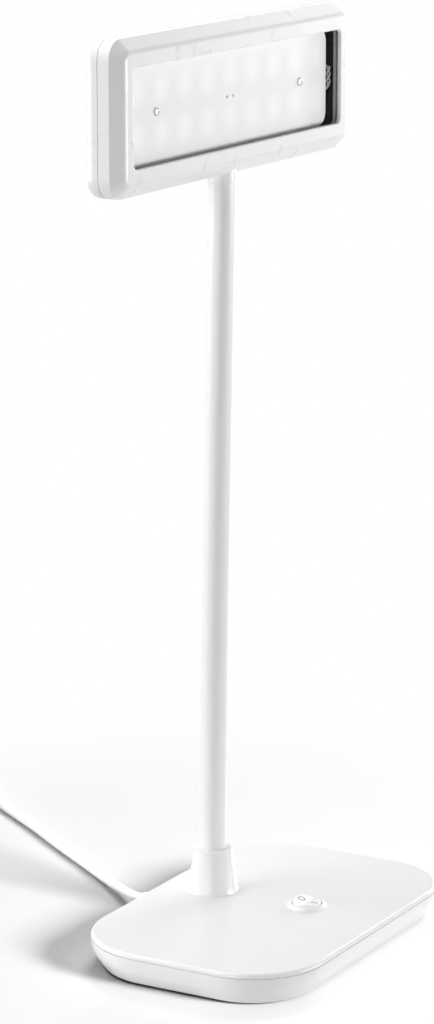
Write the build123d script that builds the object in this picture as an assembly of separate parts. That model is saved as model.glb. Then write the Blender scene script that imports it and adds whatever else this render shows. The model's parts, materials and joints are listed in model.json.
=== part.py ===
from build123d import *
import os
from math import asin, atan2, cos, degrees, pi, radians, sin, sqrt, tan

# Light therapy lamp: a weighted base with a round rocker switch, a flexible neck and a flat lit head.
# Millimetres. +Z is up and the front faces -Y. The origin is on the table, under the middle of the head
# from side to side and under the middle of the base from front to back. The neck stands on x = 0.

# Overall sizes
total_height = 541.0
base_width, base_depth = 226.0, 148.0
head_width, head_height, head_depth = 270.9, 87.2, 24.2

# Base
base_shift = -11.0  # the base stands this far to the left of the neck
base_top = 21.0
front_corner, rear_corner = 45.0, 50.0
foot_proud = 1.5
draw_in, draw_height, draw_round = 7.5, 10.5, 16.0  # how the housing's side slants in towards its floor
housing_wall = 2.4
cover_height, cover_plate, cover_edge = 3.0, 2.4, 2.0
seam_gap, seam_depth = 0.4, 0.8
lip_height, lip_thickness, lip_gap = 3.0, 1.4, 0.2
rib_height, rib_thickness = 1.5, 1.8
rib_inset_x, rib_inset_y = 35.0, 30.0
post_inset_x, post_inset_y, post_radius = 47.0, 38.0, 4.5
foot_inset_x, foot_inset_y, foot_radius, foot_recess = 29.0, 28.0, 7.0, 1.2
base_screw_radius, base_screw_head = 1.5, 2.8

# Ballast and neck foot
plate_inset_x, plate_inset_y, plate_thickness, plate_corner = 21.0, 11.0, 5.0, 36.0
plate_screw_inset, plate_screw_y = 6.0, 12.0
stem_y = 42.0
sleeve_wall, core_radius, core_bore = 2.0, 6.0, 3.0
boss_wall, boss_top = 3.0, 38.0
flange_rim, flange_thickness, flange_screw_rim = 7.5, 3.0, 3.9
collar_wall, collar_flare, collar_top = 3.6, 3.6, 47.3
collar_floor = 39.0  # the sleeve stands this high inside the collar
fit_gap = 0.05

# Neck: ball joints on a slightly leaning line
first_joint_up, last_joint_down, joint_count = 12.0, 20.8, 8  # above the collar, and below the head
neck_lean, lean_power = 6.2, 1.35  # how far forward the top stands, and how late the line leans
cup_gap, cup_rim = 0.3, 3.0
core_clear_above, core_clear_below = 8.5, 5.0

# Head
head_gap = 6.0  # the ferrule shows this much under the head
head_forward = 1.1  # the head's middle stands this far ahead of the neck
ferrule_wall, ferrule_depth = 0.5, 4.0
head_wall, seam_from_front = 2.2, 13.8
head_corner, head_slant, slant_soften, rear_round = 11.5, 6.8, 5.0, 7.0
front_wall = 2.0
frame_side, frame_rail, window_corner, window_edge = 15.05, 15.8, 4.0, 0.8
pane_overlap, pane_thickness = 2.6, 2.0
gasket_thickness = 1.7
skirt_wall, skirt_gap = 1.6, 0.2
panel_gap, panel_behind, panel_corner, panel_back_set, panel_thickness = 3.9, 1.2, 8.5, 8.0, 2.0
panel_screw_inset, panel_hole_x = 33.5, 3.5
tray_wall, tray_floor, tray_room_x, tray_room_z = 1.4, 2.0, 5.5, 0.8
board_inset_x, board_inset_z, board_thickness = 4.5, 2.0, 1.6
tray_behind = 3.2  # between the tray and the rear wall
chip_columns, chip_margin, chip_rows, chip_size, chip_thickness = 9, 9.0, (12.4, -12.0), 5.0, 0.9
shell_screw_inset, low_screw_x = 27.45, 40.0
head_boss_radius, head_pilot, head_screw_radius, head_screw_head = 3.5, 1.2, 1.5, 2.8
counterbore_floor = 2.0
vent_count, vent_pitch, vent_width, vent_height, vent_middle = 9, 5.5, 2.0, 20.0, 62.0
bracket_half, bracket_thickness, bracket_height = 14.0, 1.5, 21.5
stud_radius, nut_flats, nut_height, nut_gap = 4.0, 11.0, 4.5, 0.09

# Switch
switch_y = -22.0
switch_radius, switch_play, switch_wall, switch_rim = 9.9, 0.2, 0.8, 1.6
switch_lip, switch_lip_edge, switch_depth = 2.3, 0.5, 10.5
rocker_gap, rocker_angle, rocker_valley = 0.2, 8.0, 2.9
rocker_pivot = -0.4  # below the top of the cover
trunnion_radius, trunnion_gap = 1.2, 0.08
switch_room = 7.1  # the ballast plate stays this far from the switch

# Driver
driver_x, driver_width, driver_depth, driver_thickness = -66.0, 48.0, 42.0, 1.6
driver_gap, driver_height = 3.0, 2.1
driver_margin = 3.5

# Mains cord
cord_radius = 2.7
cord_exit_x, gland_z = -8.0, 10.0
relief_wall, relief_tip_wall, relief_flange_rim = 2.1, 1.0, 1.2
relief_out, relief_in, relief_flange_thickness = 13.0, 6.0, 2.4
relief_ribs, relief_groove, relief_groove_depth = 4, 1.2, 0.7
clamp_post_radius, clamp_post_gap = 2.6, 0.4
coil_turns_radius, coil_inner_turn = 41.5, 21.7
tie_width, tie_thickness = 10.0, 0.6
plug_length, plug_width, plug_height, plug_nose = 38.0, 35.0, 13.7, 8.0
grip_count, grip_pitch, grip_width, grip_depth = 5, 3.0, 1.2, 0.5
pin_radius, pin_length, pin_spacing = 2.0, 19.0, 18.6
lead_radius, lamp_lead_radius = 0.95, 0.7

# Worked out from the sizes above
half_base_x = base_width / 2
half_base_y = base_depth / 2
post_x, post_y = half_base_x - post_inset_x, half_base_y - post_inset_y
foot_x, foot_y = half_base_x - foot_inset_x, half_base_y - foot_inset_y
rib_x, rib_y = half_base_x - rib_inset_x, half_base_y - rib_inset_y
plate_width, plate_depth = base_width - 2 * plate_inset_x, base_depth - 2 * plate_inset_y
plate_screw_x = plate_width / 2 - plate_screw_inset
sleeve_radius = core_radius + sleeve_wall
boss_radius = core_radius + boss_wall
flange_radius, flange_screw_circle = boss_radius + flange_rim, boss_radius + flange_screw_rim
collar_top_radius = sleeve_radius + collar_wall
collar_foot = collar_top_radius + collar_flare
ferrule_radius = sleeve_radius + ferrule_wall
floor_z = foot_proud
floor_top = floor_z + housing_wall
seam_z = base_top - cover_height
cover_under = base_top - cover_plate
plate_z = floor_top + rib_height
plate_top = plate_z + plate_thickness
flange_top = plate_top + flange_thickness
head_low = total_height - head_height
head_mid = total_height - head_height / 2
head_stem_y = stem_y - neck_lean
head_front = head_stem_y - head_forward - head_depth / 2
head_back = head_front + head_depth
head_seam = head_front + seam_from_front
pane_y = head_front + front_wall
gasket_y = pane_y + pane_thickness
tray_y = gasket_y + gasket_thickness
panel_y = head_front + panel_back_set
tray_back_y = head_back - head_wall - tray_behind
board_y = tray_back_y - tray_floor - board_thickness
window_width, window_height = head_width - 2 * frame_side, head_height - 2 * frame_rail
panel_width, panel_height = window_width - 2 * panel_gap, window_height + 2 * panel_behind
panel_screw_x = panel_width / 2 - panel_screw_inset
board_width, board_height = panel_width - 2 * board_inset_x, panel_height - 2 * board_inset_z
chip_pitch = (board_width - 2 * chip_margin) / (chip_columns - 1)
shell_screw_x = head_width / 2 - shell_screw_inset
shell_screw_spots = [(-shell_screw_x, 1), (0, 1), (shell_screw_x, 1), (-shell_screw_x, -1),
                     (-low_screw_x, -1), (low_screw_x, -1), (shell_screw_x, -1)]
switch_hole = switch_radius + switch_play
switch_opening, switch_bezel = switch_radius - switch_wall, switch_radius + switch_rim
rocker_radius = switch_opening - rocker_gap
relief_root, relief_tip = cord_radius + relief_wall, cord_radius + relief_tip_wall
relief_flange = relief_root + relief_flange_rim
first_joint, last_joint = collar_top + first_joint_up, head_low - last_joint_down
bracket_z = head_low + 4.7
bracket_screws = (-9.0, 9.0)
bracket_screw_z = bracket_z + 15.0
ferrule_low = head_low - head_gap
ear_y = head_seam - 1.8  # the tray's ears lie on bosses that stop here
connector_x, connector_half = board_width / 2 - 3.2, 3.0
flange_screw_angles = (200, 270, 340)
pivot_z = base_top + rocker_pivot
terminal_ys = (switch_y - 4.5, switch_y + 4.5)
driver_top = floor_top + driver_height + driver_thickness
over_plate = plate_top + 1.6
lead_hole_z = cover_under - 2.6
grub_z = 28.0
ferrule_foot = cover_under + 0.4
screw_seat = floor_z + 3.4


def save(shape, node):
    export_step(shape, os.path.join("parts", node + ".step"))


def group(solids):
    return Compound(children=list(solids))


def draw_at(z):
    """How far the housing's side stands inside the outline at a height, before its upper bend is rounded."""
    return draw_in * max(floor_z + draw_height - z, 0.0) / draw_height


def bend_at(z, bend_z, bend):
    """How far the rounded bend of a wall stands inside its upright part, above the bend's middle."""
    bend_top = bend_z + bend * tan(atan2(draw_in, draw_height) / 2)
    return bend - sqrt(bend ** 2 - max(bend_top - z, 0.0) ** 2)


# The hollow's slanted side stands one wall inside the housing's
slope = draw_in / draw_height
hollow_in = draw_at(floor_top) + housing_wall * (sqrt(1 + slope ** 2) - 1)
hollow_height = hollow_in / slope
relief_base_y = half_base_y - draw_at(gland_z)
relief_end = relief_base_y + relief_out
pad_front = relief_base_y - relief_in
clamp_y = pad_front - relief_flange_thickness - 2.6
clamp_screw_x = 7.6
clamp_seat = gland_z + 1.8
jacket_end = clamp_y - 2.2


def base_outline(inset, z):
    """The base's rounded outline, drawn in by inset, as a face at a height."""
    half_y = half_base_y - inset
    face = Sketch() + Rectangle(base_width - 2 * inset, 2 * half_y)
    face = fillet(face.vertices().filter_by(lambda v: v.Y < 0), front_corner - inset)
    rear = face.vertices().filter_by(lambda v: abs(v.Y - half_y) < 0.001)
    face = fillet(rear, rear_corner - inset)
    return Pos(base_shift, 0, z) * face


def disc(radius, x, y, z, height):
    return Pos(x, y, z) * Cylinder(radius, height, align=(Align.CENTER, Align.CENTER, Align.MIN))


def bar(low, high):
    """A box from its lowest to its highest corner."""
    size = [top - bottom for bottom, top in zip(low, high)]
    return Pos(*low) * Box(*size, align=(Align.MIN, Align.MIN, Align.MIN))


def upright(width, height, corner, y, depth, z=None):
    """A rounded plate standing in the head, from y backwards."""
    plane = Plane(origin=(0, y, head_mid if z is None else z), x_dir=(1, 0, 0), z_dir=(0, -1, 0))
    return extrude(plane * RectangleRounded(width, height, corner), -depth)


def rod_y(radius, x, y, z, length):
    """A round rod along +Y."""
    plane = Plane(origin=(x, y, z), x_dir=(1, 0, 0), z_dir=(0, 1, 0))
    return extrude(plane * Circle(radius), length)


def tube_along(points, radii, radius):
    """A round solid along straight runs joined by tangent arcs."""
    path = FilletPolyline(*points, radius=radii)
    section = Plane(origin=path @ 0, z_dir=path % 0) * Circle(radius)
    return sweep(section, path=path)


def pan_screw(head_radius, head_height, shank_radius, shank_length):
    """A screw with its head above z = 0 and its shank below."""
    head = disc(head_radius, 0, 0, 0, head_height)
    head = fillet(head.edges().group_by(Axis.Z)[-1], head_height * 0.45)
    return head + disc(shank_radius, 0, 0, -shank_length, shank_length)


def mirrored(x, y):
    """The four places of a point mirrored about the base's middle."""
    return [(base_shift + sx * x, sy * y) for sx in (-1, 1) for sy in (-1, 1)]


# Base

def tub(inset, low, slant_in, slant_height, bend):
    """The base's outline raised from low to the seam, slanting in at its foot with a rounded bend above."""
    body = extrude(base_outline(inset, low), seam_z - low)
    foot = body.edges().group_by(Axis.Z)[0]
    reference = body.faces().sort_by(Axis.Z)[0]
    body = chamfer(foot, slant_in, slant_height, reference=reference)
    bend_z = low + slant_height
    edges = body.edges().filter_by(lambda e: abs(e.center().Z - bend_z) < 0.01)
    return fillet(edges, bend)


def lower_housing():
    shell = tub(0, floor_z, draw_in, draw_height, draw_round)
    hollow = tub(housing_wall, floor_top, hollow_in, hollow_height, draw_round - housing_wall)
    housing = shell - hollow
    # ribs under the ballast plate
    for y in (-rib_y, 0, rib_y):
        housing += bar((base_shift - rib_x, y - rib_thickness / 2, floor_top - 0.2),
                       (base_shift + rib_x, y + rib_thickness / 2, plate_z))
    # posts for the cover screws, and seats for the plate screws
    for x, y in mirrored(post_x, post_y):
        housing += disc(post_radius, x, y, floor_top - 0.2, plate_top + 1.0 - floor_top + 0.2)
    for x, y in mirrored(plate_screw_x, plate_screw_y):
        housing += disc(4.0, x, y, floor_top - 0.2, rib_height + 0.2)
    for x, y in driver_corners():
        housing += disc(2.6, x, y, floor_top - 0.2, driver_height + 0.2)
    # flat pad inside the rear wall for the strain relief, and the two clamp posts
    pad = bar((cord_exit_x - 9, pad_front, floor_top - 0.2), (cord_exit_x + 9, half_base_y, seam_z)) & shell
    housing += pad
    for side in (-1, 1):
        post_height = clamp_seat - floor_top + 0.2
        housing += disc(clamp_post_radius, cord_exit_x + side * clamp_screw_x, clamp_y, floor_top - 0.2,
                        post_height)
    # holes
    housing -= rod_y(relief_root + fit_gap, cord_exit_x, pad_front - 1, gland_z, 20)
    flange_room = relief_flange_thickness + 2 * fit_gap
    housing -= rod_y(relief_flange + fit_gap, cord_exit_x, pad_front - flange_room, gland_z, flange_room)
    for x, y in mirrored(post_x, post_y):
        housing -= disc(base_screw_radius + 0.1, x, y, 0, base_top)
        housing -= disc(base_screw_head + 0.3, x, y, 0, screw_seat)
    for x, y in mirrored(foot_x, foot_y):
        housing -= disc(foot_radius + 0.2, x, y, 0, floor_z + foot_recess)
    for x, y in mirrored(plate_screw_x, plate_screw_y):
        housing -= disc(1.5, x, y, floor_z + 1.0, 10)
    for x, y in driver_corners():
        housing -= disc(1.0, x, y, floor_z + 1.0, 10)
    for side in (-1, 1):
        housing -= disc(1.0, cord_exit_x + side * clamp_screw_x, clamp_y, floor_z + 2.5, 20)
    return housing


def top_cover():
    cover = extrude(base_outline(0, seam_z), cover_height)
    cover = fillet(cover.edges().group_by(Axis.Z)[-1], cover_edge)
    cover -= extrude(base_outline(0, seam_z) - base_outline(seam_depth, seam_z), seam_gap)
    cover -= extrude(base_outline(housing_wall, seam_z), cover_height - cover_plate)
    lip_low = seam_z - lip_height
    lip_inset = housing_wall + bend_at(lip_low, floor_top + hollow_height, draw_round - housing_wall) + lip_gap
    lip = base_outline(lip_inset, lip_low) - base_outline(lip_inset + lip_thickness, lip_low)
    cover += extrude(lip, cover_under - lip_low)
    cover -= bar((cord_exit_x - 10, half_base_y - 12, lip_low - 1),
                 (cord_exit_x + 10, half_base_y - housing_wall, cover_under))
    for x, y in mirrored(post_x, post_y):
        cover += disc(post_radius, x, y, plate_top + 1.0, cover_under - plate_top - 1.0)
        cover -= disc(base_screw_radius - 0.3, x, y, plate_top, cover_under - plate_top)
    cover -= disc(boss_radius + 0.4, 0, stem_y, 0, base_top + 1)
    cover -= disc(switch_hole, 0, switch_y, 0, base_top + 1)
    return cover


def rubber_feet():
    def foot(x, y):
        body = disc(foot_radius, x, y, 0, floor_z + foot_recess)
        body = chamfer(body.edges().group_by(Axis.Z)[0], 0.6)
        return body - disc(foot_radius * 0.45, x, y, 0, 0.5)
    return group(foot(x, y) for x, y in mirrored(foot_x, foot_y))


def base_screws():
    length = plate_top + 1.0 - screw_seat + 4.5
    screw = Rot(180, 0, 0) * pan_screw(base_screw_head, 1.8, base_screw_radius - 0.3, length)
    return group(Pos(x, y, screw_seat) * screw for x, y in mirrored(post_x, post_y))


def driver_corners():
    half_x, half_y = driver_width / 2 - driver_margin, driver_depth / 2 - driver_margin
    return [(driver_x + sx * half_x, sy * half_y) for sx in (-1, 1) for sy in (-1, 1)]


def ballast_plate():
    plate = Pos(base_shift, 0, plate_z) * RectangleRounded(plate_width, plate_depth, plate_corner)
    plate = extrude(plate, plate_thickness)
    for x, y in mirrored(post_x, post_y):
        plate -= disc(post_radius + 1.5, x, y, plate_z, plate_thickness)
    for x, y in mirrored(plate_screw_x, plate_screw_y):
        plate -= disc(1.7, x, y, plate_z, plate_thickness)
    room_x, room_y = driver_width / 2 + driver_gap, driver_depth / 2 + driver_gap
    plate -= bar((driver_x - room_x, -room_y, 0), (driver_x + room_x, room_y, plate_top))
    room = switch_radius + switch_room
    plate -= bar((-room, switch_y - room, 0), (room, switch_y + room, plate_top))
    plate -= bar((-30, stem_y + 11, 0), (16, half_base_y, plate_top))
    for angle in flange_screw_angles:
        x, y = flange_spot(angle)
        plate -= disc(1.3, x, y, plate_z + 1, plate_thickness)
    return chamfer(plate.edges().group_by(Axis.Z)[-1].sort_by(SortBy.LENGTH)[-1:], 0.4)


def inner_base_screws():
    """The screws of the ballast plate and of the driver board."""
    screw = pan_screw(3.2, 2.0, 1.5, plate_top - floor_z - 1.2)
    board_screw = pan_screw(2.2, 1.3, 1.0, driver_thickness + driver_height + 1.0)
    return group([Pos(x, y, plate_top) * screw for x, y in mirrored(plate_screw_x, plate_screw_y)]
                 + [Pos(x, y, driver_top) * board_screw for x, y in driver_corners()])


# Neck foot

def flange_spot(angle):
    return flange_screw_circle * cos(radians(angle)), stem_y + flange_screw_circle * sin(radians(angle))


def neck_socket():
    body = disc(flange_radius, 0, stem_y, plate_top, flange_thickness)
    body += disc(boss_radius, 0, stem_y, plate_top, boss_top - plate_top)
    body = fillet(body.edges().filter_by(GeomType.CIRCLE).filter_by(
        lambda e: abs(e.center().Z - flange_top) < 0.01 and abs(e.radius - boss_radius) < 0.01), 0.8)
    body -= disc(core_radius + fit_gap, 0, stem_y, flange_top, boss_top)
    for angle in flange_screw_angles:
        x, y = flange_spot(angle)
        body -= disc(1.6, x, y, plate_top, flange_thickness)
    # a wide flange is notched round the posts of the cord clamp
    for side in (-1, 1):
        body -= disc(clamp_post_radius + clamp_post_gap, cord_exit_x + side * clamp_screw_x, clamp_y,
                     plate_top, flange_thickness)
    body -= Pos(0, stem_y, lead_hole_z) * Rot(0, -90, 0) * Cylinder(
        2.2, boss_radius + 2, align=(Align.CENTER, Align.CENTER, Align.MIN))
    body -= Pos(0, stem_y, grub_z) * Rot(90, 0, 0) * Cylinder(
        1.5, boss_radius + 2, align=(Align.CENTER, Align.CENTER, Align.MIN))
    return body


def socket_screws():
    screw = pan_screw(2.7, 1.8, 1.3, flange_thickness + 3.6)
    spots = [flange_spot(angle) for angle in flange_screw_angles]
    return group([Pos(x, y, flange_top) * screw for x, y in spots] + [grub_screw()])


def grub_screw():
    length = boss_radius - core_radius - fit_gap - 0.3
    rod = rod_y(1.5, 0, stem_y - boss_radius + 0.2, grub_z, length)
    return rod - rod_y(0.7, 0, stem_y - boss_radius + 0.2, grub_z, 1.4)


def lower_ferrule():
    length = joints[0].Z - core_clear_above - ferrule_foot
    body = disc(core_radius, 0, stem_y, ferrule_foot, length)
    return body - disc(core_bore, 0, stem_y, ferrule_foot, length)


def neck_collar():
    height = collar_top - base_top
    profile = Polyline((boss_radius + 0.3, 0), (collar_foot, 0), (collar_foot - 0.7, 2.2),
                       (collar_top_radius, height - 1.2), (collar_top_radius, height),
                       (sleeve_radius + fit_gap, height), (sleeve_radius + fit_gap, collar_floor - base_top),
                       (boss_radius + 0.3, collar_floor - base_top), close=True)
    body = revolve(Plane.XZ * make_face(profile), Axis.Z)
    rim = body.edges().filter_by(GeomType.CIRCLE).filter_by(
        lambda e: abs(e.center().Z - height) < 0.01 and abs(e.radius - collar_top_radius) < 0.01)
    return Pos(0, stem_y, base_top) * fillet(rim, 0.6)


# Neck

def neck_point(z):
    """A point of the neck's leaning line, which is upright below the first joint and above the last."""
    share = max(z - first_joint, 0) / (last_joint - first_joint)
    return Vector(0, stem_y - neck_lean * min(share, 1) ** lean_power, z)


joint_pitch = (last_joint - first_joint) / (joint_count - 1)
joints = [neck_point(first_joint + joint_pitch * n) for n in range(joint_count)]


def sleeve_profile(length, ball, cup):
    """Half section of a sleeve: a round ball below the lower joint and a cup under the upper one."""
    cup_radius = sleeve_radius + cup_gap
    ball_foot = sqrt(sleeve_radius ** 2 - core_radius ** 2)
    cup_mouth = sqrt(cup_radius ** 2 - cup_rim ** 2)
    cup_foot = sqrt(cup_radius ** 2 - core_radius ** 2)
    edges = []
    if ball:
        middle = radians(-degrees(asin(ball_foot / sleeve_radius)) / 2)
        edges.append(ThreePointArc((core_radius, -ball_foot),
                                   (sleeve_radius * cos(middle), sleeve_radius * sin(middle)),
                                   (sleeve_radius, 0)))
        foot = -ball_foot
    else:
        edges.append(Line((core_radius, 0), (sleeve_radius, 0)))
        foot = 0
    if cup:
        middle = (asin(cup_rim / cup_radius) + asin(cup_foot / cup_radius)) / 2
        edges += [Line((sleeve_radius, 0), (sleeve_radius, length - cup_rim)),
                  Line((sleeve_radius, length - cup_rim), (cup_mouth, length - cup_rim)),
                  ThreePointArc((cup_mouth, length - cup_rim),
                                (cup_radius * cos(middle), length - cup_radius * sin(middle)),
                                (core_radius, length - cup_foot)),
                  Line((core_radius, length - cup_foot), (core_radius, foot))]
    else:
        edges += [Line((sleeve_radius, 0), (sleeve_radius, length)),
                  Line((sleeve_radius, length), (core_radius, length)),
                  Line((core_radius, length), (core_radius, foot))]
    return make_face(edges)


def neck_length(start, end, ball, cup):
    """One length of the neck between two points: its sleeve and its steel core."""
    line = end - start
    plane = Plane(origin=start, x_dir=(1, 0, 0), z_dir=line)
    sleeve = revolve(Plane.XZ * sleeve_profile(line.length, ball, cup), Axis.Z)
    low = -core_clear_below if ball else 0
    high = line.length - (core_clear_above if cup else 0)
    core = disc(core_radius, 0, 0, low, high - low) - disc(core_bore, 0, 0, low, high - low)
    return plane.location * sleeve, plane.location * core


neck_top = Vector(0, head_stem_y, head_low - head_gap + ferrule_depth)
neck_ends = [neck_point(collar_floor)] + joints + [neck_top]


def neck():
    """Every length has a sleeve; the first and the last core are the spigots of the two ferrules."""
    for n, (start, end) in enumerate(zip(neck_ends, neck_ends[1:])):
        sleeve, core = neck_length(start, end, n > 0, n < joint_count)
        save(sleeve, f"neck_sleeve_{n}")
        if 0 < n < joint_count:
            save(core, f"neck_core_{n}")


# Head

def neck_hole():
    return disc(ferrule_radius + 0.2, 0, head_stem_y, head_low - 2, 12)


def boss_spots():
    drop = head_height / 2 - head_wall - head_boss_radius - 0.5
    return [(x, head_mid + side * drop) for x, side in shell_screw_spots]


def tray_ears():
    x = head_width / 2 - head_wall - 1.4 - head_boss_radius - 0.5
    return [(sx * x, head_mid + sz * 18.0) for sx in (-1, 1) for sz in (-1, 1)]


def front_bezel():
    depth = seam_from_front
    body = upright(head_width, head_height, head_corner, head_front, depth)
    body = chamfer(body.edges().group_by(Axis.Y)[0], head_slant)
    rims = body.edges().group_by(Axis.Y)
    body = fillet(rims[0] + rims[1], slant_soften) if slant_soften else body
    inner_slant = head_slant - head_wall * 0.5
    room = upright(head_width - 2 * head_wall, head_height - 2 * head_wall, head_corner - head_wall,
                   head_front + front_wall, depth)
    room = chamfer(room.edges().group_by(Axis.Y)[0], inner_slant)
    body -= room
    # window, and the skirt that holds the pane and its gasket
    opening = upright(window_width, window_height, window_corner, head_front - 1, front_wall + 2)
    body -= opening
    edges = body.edges().group_by(Axis.Y)[0]
    inside = edges.filter_by(lambda e: abs(e.center().X) < window_width / 2 + 0.1
                             and abs(e.center().Z - head_mid) < window_height / 2 + 0.1)
    body = fillet(inside, window_edge)
    grow = 2 * (pane_overlap + skirt_gap)
    outer = upright(window_width + grow + 2 * skirt_wall, window_height + grow + 2 * skirt_wall,
                    window_corner + skirt_wall + 2, pane_y - 0.3, tray_y - pane_y + 0.1)
    seat = upright(window_width + grow, window_height + grow, window_corner + 2, pane_y, 10)
    body += outer
    body -= seat
    # screw bosses, kept inside the shell
    limits = upright(head_width - head_wall, head_height - head_wall, head_corner - 1,
                     head_front + front_wall / 2, depth)
    limits = chamfer(limits.edges().group_by(Axis.Y)[0], head_slant)
    for x, z in boss_spots():
        body += rod_y(head_boss_radius, x, head_front + 1, z, depth - 1) & limits
    for x, z in tray_ears():
        body += rod_y(head_boss_radius, x, head_front + 1, z, ear_y - head_front - 1) & limits
    body -= seat
    body -= opening
    for x, z in boss_spots():
        body -= rod_y(head_pilot, x, head_seam - 10, z, 20)
    for x, z in tray_ears():
        body -= rod_y(head_pilot, x, ear_y - 7, z, 10)
    return body - neck_hole()


def rear_shell():
    depth = head_back - head_seam
    body = upright(head_width, head_height, head_corner, head_seam, depth)
    body = fillet(body.edges().group_by(Axis.Y)[-1], rear_round)
    groove = upright(head_width + 2, head_height + 2, head_corner, head_seam, seam_gap)
    groove -= upright(head_width - 2 * seam_depth, head_height - 2 * seam_depth,
                      head_corner - seam_depth, head_seam, seam_gap)
    body -= groove
    room = upright(head_width - 2 * head_wall, head_height - 2 * head_wall, head_corner - head_wall,
                   head_seam - 1, depth - head_wall + 1)
    room = fillet(room.edges().group_by(Axis.Y)[-1], rear_round - head_wall)
    body -= room
    # locating lip
    grow = 2 * (head_wall + 0.2)
    lip = upright(head_width - grow, head_height - grow, head_corner - head_wall, head_seam - 1.6, 3.6)
    lip -= upright(head_width - grow - 2.4, head_height - grow - 2.4, head_corner - head_wall - 1.2,
                   head_seam - 1.6, 3.6)
    for x, z in boss_spots():
        lip -= rod_y(head_boss_radius + 0.3, x, head_seam - 3, z, 3)
    body += lip
    for x, z in boss_spots():
        body += rod_y(head_boss_radius, x, head_seam, z, depth - 1)
    for x, z in boss_spots():
        body -= rod_y(head_screw_radius + 0.1, x, head_seam - 1, z, depth + 2)
        body -= rod_y(head_screw_head + 0.2, x, head_seam + counterbore_floor, z, depth)
    for side in (-1, 1):
        for n in range(vent_count):
            x = side * vent_middle + (n - (vent_count - 1) / 2) * vent_pitch
            body -= upright_slot(x)
    return body - neck_hole()


def upright_slot(x):
    plane = Plane(origin=(x, head_back - head_wall - 1, head_mid + 8), x_dir=(0, 0, 1), z_dir=(0, 1, 0))
    return extrude(plane * SlotOverall(vent_height, vent_width), head_wall + 2)


def head_shell_screws():
    screw = Rot(-90, 0, 0) * pan_screw(head_screw_head, 1.8, head_pilot, 10)
    y = head_seam + counterbore_floor
    return group(Pos(x, y, z) * screw for x, z in boss_spots())


def clear_window():
    grow = 2 * pane_overlap
    return upright(window_width + grow, window_height + grow, window_corner + 2, pane_y, pane_thickness)


def window_gasket():
    grow = 2 * pane_overlap
    ring = upright(window_width + grow, window_height + grow, window_corner + 2, gasket_y, gasket_thickness)
    return ring - upright(window_width + 1.6, window_height + 1.6, window_corner, gasket_y, gasket_thickness)


def panel_carrier():
    room_x, room_z = panel_width + 2 * tray_room_x, panel_height + 2 * tray_room_z
    wide, tall = room_x + 2 * tray_wall, room_z + 2 * tray_wall
    body = upright(wide, tall, panel_corner, tray_y, tray_back_y - tray_y)
    body -= upright(room_x, room_z, panel_corner - 1, tray_y, tray_back_y - tray_y - tray_floor)
    for x, z in tray_ears():
        side = 1 if x > 0 else -1
        ear = rod_y(head_boss_radius, x, ear_y, z, 1.8)
        ear += bar((min(x, side * (wide / 2 - 1)), ear_y, z - head_boss_radius),
                   (max(x, side * (wide / 2 - 1)), ear_y + 1.8, z + head_boss_radius))
        body += ear
    for x, z in tray_ears():
        body -= rod_y(head_screw_radius + 0.1, x, ear_y - 1, z, 6)
    for x in (-panel_screw_x, panel_screw_x):
        body += rod_y(3.0, x, tray_back_y, head_mid, 2.0)
        body -= rod_y(head_pilot, x, tray_back_y - 5, head_mid, 10)
    for x in bracket_screws:
        body -= rod_y(1.2, x, tray_back_y - 5, bracket_screw_z, 10)
    # slot for the lead, above the nut
    body -= bar((-4, head_stem_y - 3, head_mid - tall / 2 - 1), (4, head_stem_y + 3, head_mid - tall / 2 + 3))
    return body


def carrier_screws():
    """Four hold the carrier's ears to the bezel and two hold the neck bracket to the carrier."""
    screw = Rot(-90, 0, 0) * pan_screw(2.6, 1.4, head_pilot, 4.4)
    spots = [(x, ear_y + 1.8, z) for x, z in tray_ears()]
    spots += [(x, tray_back_y + bracket_thickness, bracket_screw_z) for x in bracket_screws]
    return group(Pos(*spot) * screw for spot in spots)


def light_panel():
    body = upright(panel_width, panel_height, panel_corner, panel_y, panel_thickness)
    body = chamfer(body.edges().group_by(Axis.Y)[0], 0.5)
    for x in (-panel_screw_x, panel_screw_x):
        body -= rod_y(head_screw_radius + 0.2, x, panel_y - 1, head_mid, 5)
    for x in (-panel_hole_x, panel_hole_x):
        body -= rod_y(0.9, x, panel_y - 1, head_mid, 5)
    return body


def panel_spacers():
    y = panel_y + panel_thickness
    length = board_y - y
    return group(rod_y(3.0, x, y, head_mid, length) - rod_y(1.8, x, y, head_mid, length)
                 for x in (-panel_screw_x, panel_screw_x))


def panel_screws():
    screw = Rot(90, 0, 0) * pan_screw(2.5, 1.3, head_pilot, tray_back_y + 1.5 - panel_y)
    return group(Pos(x, panel_y, head_mid) * screw for x in (-panel_screw_x, panel_screw_x))


def led_board():
    body = upright(board_width, board_height, 2.0, board_y, board_thickness)
    for x in (-panel_screw_x, panel_screw_x):
        body -= rod_y(head_screw_radius + 0.2, x, board_y - 1, head_mid, 5)
    for x in bracket_screws:
        body -= rod_y(3.2, x, board_y - 1, bracket_screw_z, 5)
    return body


def chip_spots():
    half = (chip_columns - 1) / 2
    return [((n - half) * chip_pitch, head_mid + row) for n in range(chip_columns) for row in chip_rows]


def led_chips():
    size = chip_size / 2
    return group(bar((x - size, board_y - chip_thickness, z - size), (x + size, board_y, z + size))
                 for x, z in chip_spots())


def led_connector():
    body = bar((connector_x - connector_half, board_y - 3, head_mid + 4),
               (connector_x + connector_half, board_y, head_mid + 12))
    return fillet(body.edges().filter_by(Axis.Y), 0.6)


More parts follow.
